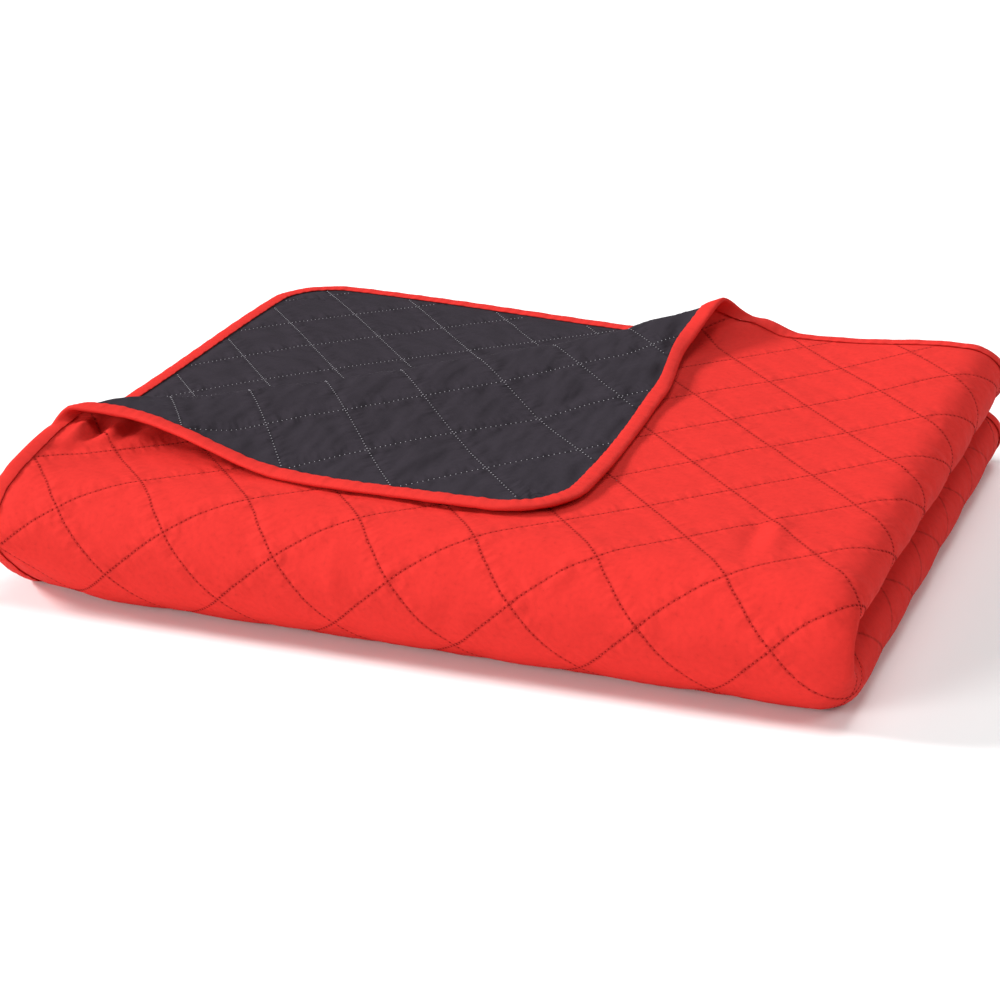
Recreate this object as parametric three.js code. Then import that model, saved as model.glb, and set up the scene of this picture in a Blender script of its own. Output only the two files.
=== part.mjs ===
// Reversible quilted bedspread, folded in half twice, with one corner of the top layer turned back.
// Millimetres, X along the package, Y towards the back, Z up. The flat cloth has its own
// coordinates: u runs along the length and v along the width, both from the middle of the cloth.
import * as THREE from "three";

// flat cloth
const FLAT_LENGTH = 2100;
const FLAT_WIDTH = 1700;
const DIAMOND_SIDE = 101.4;
const HALF_DIAGONAL = DIAMOND_SIDE / Math.SQRT2;
const CORNER_RADIUS = 92;
const BINDING_WIDTH = 17;

// a crossing of the quilting's stitch lines, and how far askew the quilting was sewn
const QUILT_U = -244.7;
const QUILT_V = 16.5;
const QUILT_SKEW = 0.05;

// cloth build-up
const PLY_GAP = 0.3;
const FACE_THIN = 1.3;
const FACE_PUFF = 1.6;
const BACK_THIN = 1.1;
const BACK_PUFF = 1.3;
const PUFF_FADE = 24;
const BINDING_THICK = 0.9;
const BINDING_GAP = 0.7;

// package
const TOP_Z = 146.5;
const BOTTOM_Z = 3.4;
const FLOOR_Z = BOTTOM_Z - PLY_GAP / 2 - FACE_THIN;
const ARC_RADIUS = (TOP_Z - BOTTOM_Z) / 2;
const ARC_Z = (TOP_Z + BOTTOM_Z) / 2;
const FIRST_FOLD_U = -10;
const RIGHT_END_X = 217;
const LOBE_REACH = 44;
const TAKE_UP = 0.979;
const INNER_ARC_RADIUS = 35;
const INNER_ARC_RUN = 1000;
const INNER_SETTLE_RUN = 420;
const TOP_PAIR_GAP = 18.5;
const BOTTOM_PAIR_GAP = 69;

// the loop at the right end is slimmer above and in front, and the outer layer is a little
// longer behind and a little narrower to the left
const SLIM = { by: 6, from: 60, run: 450 };
const LENGTHENING = { by: 0.03, from: 250, run: 350 };
const NARROWING = { by: 0.02, from: 250, run: 300 };

// unevenness: waves of the lying layers, away from the folds by the given distances
const WAVE_LENGTHS = [97, 151, 173, 89];
const WAVE_PHASE = 1.1;
const WAVE_HEIGHT = { outerTop: 1.2, innerTop: 1.5, innerBottom: 2 };
const FRONT_CALM = { from: 125, run: 120 };
const END_CALM = { from: 10, run: 120 };
const RIM_RISE = { by: 3, run: 60, from: 40, fade: 50 };
const BACK_SWELL = { by: 8, x: 150, width: 95, from: 500, run: 330 };
const BACK_SAG = { by: 9, x: -350, width: 250, from: 500, run: 330 };
const END_TUCK = { rise: 18, draw: 22, from: 900, run: 140, bias: 0.1 };

// turned-back corner
const CREASE_OFFSET = 831;
const FLAP_REST = 8.5;

// the roll along the crease, by the distance along it: its radius, how far the crease is set
// back, how high the cloth rises before it and over what run, and the run of its fall behind it
const ROLL_TABLE = [
  { across: -424, radius: 10, setBack: 33, lift: 19, run: 105, fall: 400 },
  { across: -300, radius: 12, setBack: -2, lift: 8, run: 90, fall: 250 },
  { across: -150, radius: 14, setBack: -12, lift: 2, run: 80, fall: 300 },
  { across: 30, radius: 14.5, setBack: -12, lift: 2, run: 80, fall: 225 },
  { across: 200, radius: 14, setBack: -1, lift: 0, run: 80, fall: 285 },
  { across: 310, radius: 15.5, setBack: 21, lift: 1, run: 60, fall: 150 },
  { across: 417, radius: 19, setBack: 9, lift: 16, run: 40, fall: 300 },
];

// half height of the folded loop at the right end, by the angle round the front fold
const LOBE_TABLE = [
  { angle: -90, half: 34.5 },
  { angle: -40, half: 29 },
  { angle: 0, half: 16 },
  { angle: 25, half: 12 },
  { angle: 50, half: 20 },
  { angle: 72, half: 29 },
  { angle: 90, half: 31 },
];

// mesh: parts of a quilting cell round the folds, shares of the roll's half turn to cut at
const END_FOLD_CELLS = { from: -101, to: 114, parts: 3 };
const FRONT_FOLD_CELLS = { from: -127, to: 160, parts: 2 };
const ROLL_SHARES = [0, 0.2, 0.4, 0.6, 0.8, 1];
const ROLL_CORNER = { u: -200, v: 60 };
const SMALLEST_CELL = 12;
const NEAR_CUT = 4;
const NORMAL_STEP = 2;

const clamp = (t) => Math.min(1, Math.max(0, t));

const ease = (t) => {
  const c = clamp(t);
  return c * c * (3 - 2 * c);
};

// value of a named column between two rows of a table, eased from row to row
const lookUp = (table, key, value, column) => {
  let row = 0;
  while (row < table.length - 2 && value > table[row + 1][key]) row += 1;
  const low = table[row];
  const high = table[row + 1];
  const t = ease((value - low[key]) / (high[key] - low[key]));
  return low[column] + (high[column] - low[column]) * t;
};

// middle surface of the cloth before its corner is turned back
const foldPackage = (u, v) => {
  const along = u - FIRST_FOLD_U;
  const inner = along > 0;
  const round = inner
    ? ARC_RADIUS + (INNER_ARC_RADIUS - ARC_RADIUS) * ease(along / INNER_ARC_RUN)
    : ARC_RADIUS;
  const angle = Math.min(Math.PI / 2, Math.max(-Math.PI / 2, v / round));
  const beyond = Math.abs(v - angle * round);
  const top = (1 + Math.sin(angle)) / 2;
  const full = lookUp(LOBE_TABLE, "angle", (angle * 180) / Math.PI, "half");
  const half = full - SLIM.by * top * top * (1 - ease((beyond - SLIM.from) / SLIM.run));
  const quarter = (Math.PI / 2) * Math.sqrt((LOBE_REACH ** 2 + full ** 2) / 2);
  const turn = Math.min(1, Math.max(-1, along / quarter)) * (Math.PI / 2);
  const over = Math.max(0, Math.abs(along) - quarter);
  const longer = inner ? 0 : LENGTHENING.by * ease((v - LENGTHENING.from) / LENGTHENING.run);
  const x = RIGHT_END_X - LOBE_REACH * (1 - Math.cos(turn)) - over * (TAKE_UP + longer);
  let depth = -half * (1 + Math.sin(turn));
  if (inner) {
    const settled = ease(over / INNER_SETTLE_RUN);
    const open = -(TOP_PAIR_GAP + (BOTTOM_PAIR_GAP - TOP_PAIR_GAP) * (1 - top));
    depth = depth + (open - depth) * settled;
  }
  const narrower = inner ? 0 : NARROWING.by * ease((over - NARROWING.from) / NARROWING.run);
  const y = beyond * (1 - narrower) - (ARC_RADIUS + depth) * Math.cos(angle);
  const z = ARC_Z + (ARC_RADIUS + depth) * Math.sin(angle);
  return { x, y, z, along, angle, over, inner };
};

// distance to the cloth's rim, whose corners are round
const insetOf = (u, v) => {
  const inU = FLAT_LENGTH / 2 - Math.abs(u);
  const inV = FLAT_WIDTH / 2 - Math.abs(v);
  if (inU >= CORNER_RADIUS || inV >= CORNER_RADIUS) return Math.min(inU, inV);
  return CORNER_RADIUS - Math.hypot(CORNER_RADIUS - inU, CORNER_RADIUS - inV);
};

// a hump across x that grows towards the back
const hump = (shape, x, v) => (
  shape.by * Math.exp(-(((x - shape.x) / shape.width) ** 2)) * ease((v - shape.from) / shape.run)
);

// how far the lying cloth rises and is drawn back: slow waves, a swell and a sag at the back,
// the raised rim of the bottom layer and the tucked-in left end of the front fold
const uneven = (u, v, p) => {
  const [a, b, c, d] = WAVE_LENGTHS;
  const wave = Math.sin(p.x / a + p.y / b) + Math.sin(p.x / c - p.y / d + WAVE_PHASE);
  const calm = ease((Math.abs(v) - FRONT_CALM.from) / FRONT_CALM.run)
    * ease((p.over - END_CALM.from) / END_CALM.run);
  if (p.inner && v > 0) {
    return { rise: WAVE_HEIGHT.innerTop * wave * calm - hump(BACK_SAG, p.x, v), draw: 0 };
  }
  if (p.inner) return { rise: WAVE_HEIGHT.innerBottom * wave * calm, draw: 0 };
  const tuck = ease((-p.along - END_TUCK.from) / END_TUCK.run)
    * Math.cos(p.angle) * clamp(-Math.sin(p.angle) + END_TUCK.bias);
  const rim = RIM_RISE.by * (1 - ease(insetOf(u, v) / RIM_RISE.run));
  const rise = v > 0
    ? WAVE_HEIGHT.outerTop * wave * calm + hump(BACK_SWELL, p.x, v)
    : rim * ease((-v - RIM_RISE.from) / RIM_RISE.fade);
  return { rise: rise + END_TUCK.rise * tuck, draw: END_TUCK.draw * tuck };
};

// the roll's sizes at a distance along the crease; line is where it starts, square to the crease
const rollAt = (across) => {
  const column = (name) => lookUp(ROLL_TABLE, "across", across, name);
  const line = (CREASE_OFFSET + column("setBack")) * Math.SQRT1_2;
  return {
    line,
    radius: column("radius"),
    lift: column("lift"),
    run: column("run"),
    fall: column("fall"),
  };
};

// middle surface of the cloth: the folded package with the top layer's corner turned back
const cloth = (u, v) => {
  const p = foldPackage(u, v);
  const off = uneven(u, v, p);
  const x = p.x;
  const y = p.y + off.draw;
  const z = p.z + off.rise;
  if (p.inner || v < 0) return new THREE.Vector3(x, y, z);
  const across = (x + y) * Math.SQRT1_2;
  const roll = rollAt(across);
  const past = (y - x) * Math.SQRT1_2 - roll.line;
  const lift = roll.lift * ease((past + roll.run) / roll.run);
  if (past < 0) return new THREE.Vector3(x, y, z + lift);
  const turn = Math.min(Math.PI, past / roll.radius);
  const free = Math.max(0, past - Math.PI * roll.radius);
  const line = roll.line + roll.radius * Math.sin(turn) - free;
  const fall = ease(free / roll.fall);
  const height = roll.radius * (1 - Math.cos(turn)) + lift;
  return new THREE.Vector3(
    (across - line) * Math.SQRT1_2,
    (across + line) * Math.SQRT1_2,
    z + height * (1 - fall) + FLAP_REST * fall,
  );
};

// unit normal of the middle surface, on the face side
const clothNormal = (u, v) => {
  const du = cloth(u + NORMAL_STEP, v).sub(cloth(u - NORMAL_STEP, v));
  const dv = cloth(u, v + NORMAL_STEP).sub(cloth(u, v - NORMAL_STEP));
  return du.cross(dv).normalize();
};

// from the quilting's own straight grid to the flat cloth: a small turn that ends at the binding
const sewnAskew = (g, h) => {
  const fadeU = 1 - clamp(Math.abs(g) / (FLAT_LENGTH / 2 - BINDING_WIDTH)) ** 3;
  const fadeV = 1 - clamp(Math.abs(h) / (FLAT_WIDTH / 2 - BINDING_WIDTH)) ** 3;
  return [g + QUILT_SKEW * (h - QUILT_V) * fadeU, h - QUILT_SKEW * (g - QUILT_U) * fadeV];
};

// height of the quilted puff between stitch lines, from 0 on a line to 1 in a diamond's middle
const puff = ({ at, sewn }) => {
  const g = (sewn[0] - QUILT_U) / HALF_DIAGONAL;
  const h = (sewn[1] - QUILT_V) / HALF_DIAGONAL;
  const first = Math.abs(Math.sin((Math.PI * (g + h)) / 2));
  const second = Math.abs(Math.sin((Math.PI * (g - h)) / 2));
  return Math.sqrt(first * second) * ease((insetOf(...at) - BINDING_WIDTH) / PUFF_FADE);
};

// grid lines: the rim, the inner edge of the binding and every half diagonal of the quilting,
// with the cells round a fold split into parts
const gridLines = (size, start, folded) => {
  const end = size / 2;
  const lines = [-end, -end + BINDING_WIDTH, end - BINDING_WIDTH, end];
  const first = Math.ceil((-end - start) / HALF_DIAGONAL);
  for (let low = start + first * HALF_DIAGONAL; low < end; low += HALF_DIAGONAL) {
    const middle = low + HALF_DIAGONAL / 2;
    const parts = middle > folded.from && middle < folded.to ? folded.parts : 1;
    for (let part = 0; part < parts; part += 1) {
      const line = low + (HALF_DIAGONAL * part) / parts;
      if (Math.abs(line) < end - BINDING_WIDTH - SMALLEST_CELL) lines.push(line);
    }
  }
  return lines.sort((a, b) => a - b);
};

const U_LINES = gridLines(FLAT_LENGTH, QUILT_U, END_FOLD_CELLS);
const V_LINES = gridLines(FLAT_WIDTH, QUILT_V, FRONT_FOLD_CELLS);

// rounds the four corners of the flat cloth: squares about the corner's centre become circles
const roundCorner = (u, v) => {
  const centreU = FLAT_LENGTH / 2 - CORNER_RADIUS;
  const centreV = FLAT_WIDTH / 2 - CORNER_RADIUS;
  const du = Math.abs(u) - centreU;
  const dv = Math.abs(v) - centreV;
  if (du <= 0 || dv <= 0) return [u, v];
  const scale = Math.max(du, dv) / Math.hypot(du, dv);
  return [Math.sign(u) * (centreU + du * scale), Math.sign(v) * (centreV + dv * scale)];
};

// the point on the binding's inner edge that a point in the bound strip belongs to,
// both before the corners are rounded
const insideBinding = (u, v) => {
  const farU = FLAT_LENGTH / 2 - BINDING_WIDTH;
  const farV = FLAT_WIDTH / 2 - BINDING_WIDTH;
  return [Math.min(farU, Math.max(-farU, u)), Math.min(farV, Math.max(-farV, v))];
};

// whether a cell of the grid is split along its rising diagonal: along the stitch line that
// crosses it, or towards the corner in a round corner
const splitRising = (u, v) => {
  const inCorner = Math.abs(u) > FLAT_LENGTH / 2 - CORNER_RADIUS
    && Math.abs(v) > FLAT_WIDTH / 2 - CORNER_RADIUS;
  if (inCorner) return u * v > 0;
  const column = Math.floor((u - QUILT_U) / HALF_DIAGONAL);
  const row = Math.floor((v - QUILT_V) / HALF_DIAGONAL);
  return (column + row) % 2 === 0;
};

// flat mesh of the cloth: points and triangles, with the stitch lines as triangle edges.
// A point has its place on the quilting's grid, on the square cloth and on the cloth itself
const flatMesh = () => {
  const columns = U_LINES.length;
  const points = [];
  for (const h of V_LINES) {
    for (const g of U_LINES) {
      const square = sewnAskew(g, h);
      points.push({ sewn: [g, h], square, at: roundCorner(...square) });
    }
  }
  const triangles = [];
  for (let j = 0; j < V_LINES.length - 1; j += 1) {
    for (let i = 0; i < columns - 1; i += 1) {
      const a = j * columns + i;
      const b = a + 1;
      const c = a + columns;
      const d = c + 1;
      const rising = splitRising((U_LINES[i] + U_LINES[i + 1]) / 2, (V_LINES[j] + V_LINES[j + 1]) / 2);
      if (rising) triangles.push([a, b, d], [a, d, c]);
      else triangles.push([a, b, c], [b, d, c]);
    }
  }
  return { points, triangles };
};

// a point between two points of the flat mesh
const pointBetween = (from, to, t) => {
  const mix = (key) => from[key].map((value, k) => value + (to[key][k] - value) * t);
  return { sewn: mix("sewn"), square: mix("square"), at: mix("at") };
};

// cuts the flat mesh along a line where the given field is zero
const slice = (mesh, field) => {
  const side = mesh.points.map((point) => {
    const value = field(...insideBinding(...point.square));
    return Math.abs(value) < NEAR_CUT ? 0 : value;
  });
  const made = new Map();
  const cut = (a, b) => {
    const key = a < b ? `${a},${b}` : `${b},${a}`;
    if (!made.has(key)) {
      const t = side[a] / (side[a] - side[b]);
      made.set(key, mesh.points.push(pointBetween(mesh.points[a], mesh.points[b], t)) - 1);
    }
    return made.get(key);
  };
  const triangles = [];
  for (const triangle of mesh.triangles) {
    const start = [0, 1, 2].find((k) => {
      const [a, b, c] = [0, 1, 2].map((n) => side[triangle[(k + n) % 3]]);
      return a * b < 0 && a * c <= 0 && (a * c < 0 || c === 0);
    });
    if (start === undefined) {
      triangles.push(triangle);
      continue;
    }
    const [a, b, c] = [0, 1, 2].map((n) => triangle[(start + n) % 3]);
    const m = cut(a, b);
    if (side[c] === 0) {
      triangles.push([a, m, c], [m, b, c]);
      continue;
    }
    const n = cut(a, c);
    triangles.push([a, m, n], [m, b, n], [b, c, n]);
  }
  return { points: mesh.points, triangles };
};

// distance past a share of the way round the roll, for cutting the flat mesh along it
const rollField = (share) => (u, v) => {
  if (u > ROLL_CORNER.u || v < ROLL_CORNER.v) return -CREASE_OFFSET;
  const p = foldPackage(u, v);
  const roll = rollAt((p.x + p.y) * Math.SQRT1_2);
  return (p.y - p.x) * Math.SQRT1_2 - roll.line - share * Math.PI * roll.radius;
};

// edges that belong to one triangle only, as rings of point numbers
const ringsOf = (triangles) => {
  const seen = new Set();
  for (const t of triangles) for (let k = 0; k < 3; k += 1) seen.add(`${t[k]},${t[(k + 1) % 3]}`);
  const next = new Map();
  for (const t of triangles) {
    for (let k = 0; k < 3; k += 1) {
      const a = t[k];
      const b = t[(k + 1) % 3];
      if (!seen.has(`${b},${a}`)) next.set(a, b);
    }
  }
  const rings = [];
  while (next.size) {
    const ring = [];
    let at = next.keys().next().value;
    while (next.has(at)) {
      ring.push(at);
      const following = next.get(at);
      next.delete(at);
      at = following;
    }
    rings.push(ring);
  }
  return rings;
};

const geometryOf = (positions, triangles) => {
  const geometry = new THREE.BufferGeometry();
  const flat = positions.flatMap((p) => [p.x, p.y, p.z]);
  geometry.setAttribute("position", new THREE.Float32BufferAttribute(flat, 3));
  geometry.setIndex(triangles.flat());
  return geometry;
};

// one ply of the cloth between two offsets from the middle surface, flat where it lies
const plySolid = (mesh, ring, low, high) => {
  const count = mesh.points.length;
  const layer = (offset) => mesh.points.map((point) => {
    const place = cloth(...point.at).addScaledVector(clothNormal(...point.at), offset(point));
    place.z = Math.max(place.z, FLOOR_Z);
    return place;
  });
  const positions = [...layer(high), ...layer(low)];
  const triangles = mesh.triangles.map((t) => [...t]);
  for (const [a, b, c] of mesh.triangles) triangles.push([a + count, c + count, b + count]);
  ring.forEach((a, k) => {
    const b = ring[(k + 1) % ring.length];
    triangles.push([a, a + count, b + count], [a, b + count, b]);
  });
  return geometryOf(positions, triangles);
};

// folded tape round the rim: a flange over each side of the cloth, on the same triangles
const bindingSolid = (mesh, ring) => {
  const farU = FLAT_LENGTH / 2 - BINDING_WIDTH;
  const farV = FLAT_WIDTH / 2 - BINDING_WIDTH;
  const middle = (t, k) => Math.abs(t.reduce((sum, n) => sum + mesh.points[n].square[k], 0) / 3);
  const strip = mesh.triangles.filter((t) => middle(t, 0) > farU || middle(t, 1) > farV);
  const used = [...new Set(strip.flat())];
  const order = new Map(used.map((n, k) => [n, k]));
  const onRim = new Set(ring);
  const faceSide = PLY_GAP / 2 + FACE_THIN + BINDING_GAP;
  const backSide = PLY_GAP / 2 + BACK_THIN + BINDING_GAP;
  const frames = used.map((n) => {
    const { at, square } = mesh.points[n];
    const place = cloth(...at);
    const root = cloth(...roundCorner(...insideBinding(...square)));
    const out = onRim.has(n) ? place.clone().sub(root).normalize() : new THREE.Vector3();
    return { place, out, normal: clothNormal(...at) };
  });
  const layer = (side, reach) => frames.map(({ place, normal, out }) => (
    place.clone().addScaledVector(normal, side).addScaledVector(out, reach)
  ));
  const levels = { faceOut: 0, faceIn: 1, backIn: 2, backOut: 3, edge: 4 };
  const positions = [
    layer(faceSide + BINDING_THICK, BINDING_GAP),
    layer(faceSide, BINDING_GAP),
    layer(-backSide, BINDING_GAP),
    layer(-backSide - BINDING_THICK, BINDING_GAP),
    layer((faceSide - backSide) / 2, BINDING_GAP + 2 * BINDING_THICK),
  ].flat();
  const number = (level, n) => level * used.length + order.get(n);
  const triangles = [];
  const wall = (a, b, high, low) => {
    triangles.push([number(high, a), number(low, a), number(low, b)]);
    triangles.push([number(high, a), number(low, b), number(high, b)]);
  };
  for (const [a, b, c] of strip) {
    for (const level of [levels.faceOut, levels.backIn]) {
      triangles.push([number(level, a), number(level, b), number(level, c)]);
      triangles.push([number(level + 1, a), number(level + 1, c), number(level + 1, b)]);
    }
  }
  for (const edges of ringsOf(strip)) {
    edges.forEach((a, k) => {
      const b = edges[(k + 1) % edges.length];
      if (onRim.has(a)) {
        wall(a, b, levels.faceOut, levels.edge);
        wall(a, b, levels.edge, levels.backOut);
        wall(a, b, levels.backIn, levels.faceIn);
      } else {
        wall(a, b, levels.faceOut, levels.faceIn);
        wall(a, b, levels.backIn, levels.backOut);
      }
    });
  }
  return geometryOf(positions, triangles);
};

const faceCloth = () => new THREE.MeshStandardMaterial({
  name: "face_cloth", color: 0xe93f3c, roughness: 0.7, metalness: 0,
});

const backingCloth = () => new THREE.MeshStandardMaterial({
  name: "backing_cloth", color: 0x3e3c42, roughness: 0.75, metalness: 0,
});

const bindingTape = () => new THREE.MeshStandardMaterial({
  name: "binding_tape", color: 0xe33b39, roughness: 0.65, metalness: 0,
});

const cut = ROLL_SHARES.reduce((mesh, share) => slice(mesh, rollField(share)), flatMesh());
const [rim] = ringsOf(cut.triangles);

// the face ply, which shows its quilting on the outside of the package
const facePanel = () => {
  const high = (point) => PLY_GAP / 2 + FACE_THIN + FACE_PUFF * puff(point);
  return new THREE.Mesh(plySolid(cut, rim, () => PLY_GAP / 2, high), faceCloth());
};

// the backing ply, on the other side of the middle surface
const backingPanel = () => {
  const low = (point) => -PLY_GAP / 2 - BACK_THIN - BACK_PUFF * puff(point);
  return new THREE.Mesh(plySolid(cut, rim, low, () => -PLY_GAP / 2), backingCloth());
};

const binding = () => new THREE.Mesh(bindingSolid(cut, rim), bindingTape());

const bedspread = new THREE.Group();
bedspread.name = "quilted_bedspread";
const pieces = { face_panel: facePanel(), backing_panel: backingPanel(), binding: binding() };
for (const [name, mesh] of Object.entries(pieces)) {
  mesh.name = name;
  bedspread.add(mesh);
}

// the origin is the middle of the package's base
const bounds = new THREE.Box3().setFromObject(bedspread);
const base = bounds.getCenter(new THREE.Vector3()).setZ(bounds.min.z);
for (const mesh of bedspread.children) mesh.geometry.translate(-base.x, -base.y, -base.z);

export default bedspread;
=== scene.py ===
"""Reversible quilted bedspread, folded in half twice, with one corner of its top layer turned back.

The cloth is one sheet with flat coordinates u along its length and v along its width, both
from its middle, in metres. One function lays that sheet into the folded package, and every
piece, from the quilted panels to the single stitches, is put on it by its flat coordinates.
"""

import math

import bpy
import numpy as np
from bpy.props import FloatProperty, FloatVectorProperty, PointerProperty
from mathutils import Matrix, Vector


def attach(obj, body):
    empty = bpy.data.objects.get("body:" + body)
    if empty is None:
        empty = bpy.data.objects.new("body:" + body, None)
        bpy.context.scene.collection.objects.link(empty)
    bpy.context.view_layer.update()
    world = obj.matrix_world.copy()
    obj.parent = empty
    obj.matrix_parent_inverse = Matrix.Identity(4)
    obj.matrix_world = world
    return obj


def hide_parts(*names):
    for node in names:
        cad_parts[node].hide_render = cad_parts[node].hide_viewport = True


bl_info = {
    "name": "Quilted bedspread",
    "version": (1, 0, 0),
    "blender": (4, 5, 0),
    "location": "View3D > Sidebar > Bedspread",
    "description": "Builds a folded, diamond-quilted bedspread around its solids",
    "category": "Add Mesh",
}

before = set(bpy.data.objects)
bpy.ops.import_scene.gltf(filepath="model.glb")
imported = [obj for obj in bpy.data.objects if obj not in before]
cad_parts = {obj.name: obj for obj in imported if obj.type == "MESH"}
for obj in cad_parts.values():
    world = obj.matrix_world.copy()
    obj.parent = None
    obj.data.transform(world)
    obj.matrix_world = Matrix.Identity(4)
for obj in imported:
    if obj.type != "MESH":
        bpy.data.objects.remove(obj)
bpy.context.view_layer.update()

# share of a distance along a diagonal that falls to each axis
DIAGONAL = math.sqrt(0.5)

# flat cloth
FLAT_LENGTH = 2.1
FLAT_WIDTH = 1.7
DIAMOND_SIDE = 0.1014
HALF_DIAGONAL = DIAMOND_SIDE / math.sqrt(2)
CORNER_RADIUS = 0.092
CORNER_U = FLAT_LENGTH / 2 - CORNER_RADIUS
CORNER_V = FLAT_WIDTH / 2 - CORNER_RADIUS
BINDING_WIDTH = 0.017
PLY_GAP = 0.0003

# the rim's straight sides and quarter circles in turn, from the corner of least u and v
QUARTER_CIRCLE = math.pi / 2 * CORNER_RADIUS
RIM_LEGS = np.array([2 * CORNER_U, QUARTER_CIRCLE, 2 * CORNER_V, QUARTER_CIRCLE] * 2)

# a crossing of the quilting's stitch lines, and the number of stitches to a diamond's side
QUILT_U = -0.2447
QUILT_V = 0.0165
STITCHES_PER_SIDE = 17
STITCH_PITCH = DIAMOND_SIDE / STITCHES_PER_SIDE

# how unevenly the quilting was sewn: shifts of the lines as shares of 1, x, y, xx, xy and yy,
# with x and y measured from the crossing above and held within the ranges that show
SEWN_SHIFT_U = (-0.001, 0.016, 0.067, 0.041, -0.094, -0.019)
SEWN_SHIFT_V = (-0.001, -0.027, -0.008, 0.039, 0.156, -0.009)
SEWN_RANGE_X = (-0.85, 0.35)
SEWN_RANGE_Y = (-0.15, 0.85)

# the puffs between the stitch lines: how steeply they rise, and how wide they fade at the binding
PUFF_POWER = 0.55
PUFF_FADE = 0.02

# package: the middle of its highest and lowest layers and the front fold between them, the
# first fold, the loop at the right end and the share of its length that a layer keeps, then
# how the inner layers bend and settle, the gaps in the two pairs and the bare plies
TOP_Z = 0.1465
BOTTOM_Z = 0.0034
ARC_RADIUS = (TOP_Z - BOTTOM_Z) / 2
ARC_Z = (TOP_Z + BOTTOM_Z) / 2
FIRST_FOLD_U = -0.010
RIGHT_END_X = 0.217
LOBE_REACH = 0.044
TAKE_UP = 0.979
INNER_ARC_RADIUS = 0.035
INNER_ARC_RUN = 1.0
INNER_SETTLE_RUN = 0.42
TOP_PAIR_GAP = 0.0185
BOTTOM_PAIR_GAP = 0.069
FACE_THIN = 0.0013
BACK_THIN = 0.0011

# where the row's origin lies in the package's own frame
FLOOR_Z = BOTTOM_Z - PLY_GAP / 2 - FACE_THIN
PACKAGE_ORIGIN = np.array([-0.298072, 0.361430, FLOOR_Z])

# the top lobe is slimmer near the front fold; a pair of numbers named RUN is a start and a length
LOBE_SLIM = 0.006
LOBE_SLIM_RUN = (0.06, 0.45)

# the top layer lies straighter towards the back, and both outer layers are drawn in towards the
# left end
BACK_STRAIGHT = 0.03
BACK_STRAIGHT_RUN = (0.25, 0.35)
LEFT_DRAWN = 0.02
LEFT_DRAWN_RUN = (0.25, 0.3)

# slow waves of the lying layers: where they set in, their lengths to a radian along x and y with
# a phase, and their heights
WAVE_RUN_V = (0.125, 0.12)
WAVE_RUN_OVER = (0.01, 0.12)
WAVES = ((0.097, 0.151, 0.0), (0.173, -0.089, 1.1))
INNER_WAVE_ABOVE = 0.0015
INNER_WAVE_BELOW = 0.002
OUTER_WAVE_ABOVE = 0.0012

# at the back edge the upper inner layer sags and the upper outer one puffs up, each a bump
# along x of (place, width, height); the rim of the lowest layer is raised
BACK_EDGE_RUN = (0.5, 0.33)
BACK_SAG = (-0.350, 0.250, 0.009)
BACK_PUFF = (0.150, 0.095, 0.008)
RAISED_RIM = 0.003
RAISED_RIM_WIDTH = 0.06
RAISED_RIM_RUN = (0.04, 0.05)

# the left end of the front fold is tucked in, most of all below its middle
TUCK_RUN = (0.9, 0.14)
TUCK_ABOVE_MIDDLE = 0.1
TUCK_RISE = 0.018
TUCK_DRAW = 0.022

# turned-back corner
CREASE_OFFSET = 0.831
FLAP_REST = 0.0085

# the roll along the crease, by the distance along it: its radius, how far the crease is set
# back, how high the cloth rises before it and over what run, and the run of its fall behind it
ROLL_TABLE = {
    "across": (-0.424, -0.300, -0.150, 0.030, 0.200, 0.310, 0.417),
    "radius": (0.010, 0.012, 0.014, 0.0145, 0.014, 0.0155, 0.019),
    "set_back": (0.033, -0.002, -0.012, -0.012, -0.001, 0.021, 0.009),
    "lift": (0.019, 0.008, 0.002, 0.002, 0, 0.001, 0.016),
    "run": (0.105, 0.090, 0.080, 0.080, 0.080, 0.060, 0.040),
    "fall": (0.400, 0.250, 0.300, 0.225, 0.285, 0.150, 0.300),
}

# half height of the folded loop at the right end, by the angle round the front fold
LOBE_TABLE = {
    "angle": (-90, -40, 0, 25, 50, 72, 90),
    "half": (0.0345, 0.029, 0.016, 0.012, 0.020, 0.029, 0.031),
}

# distance on the flat cloth over which its slope is measured, to either side
SLOPE_STEP = 0.002

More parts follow.
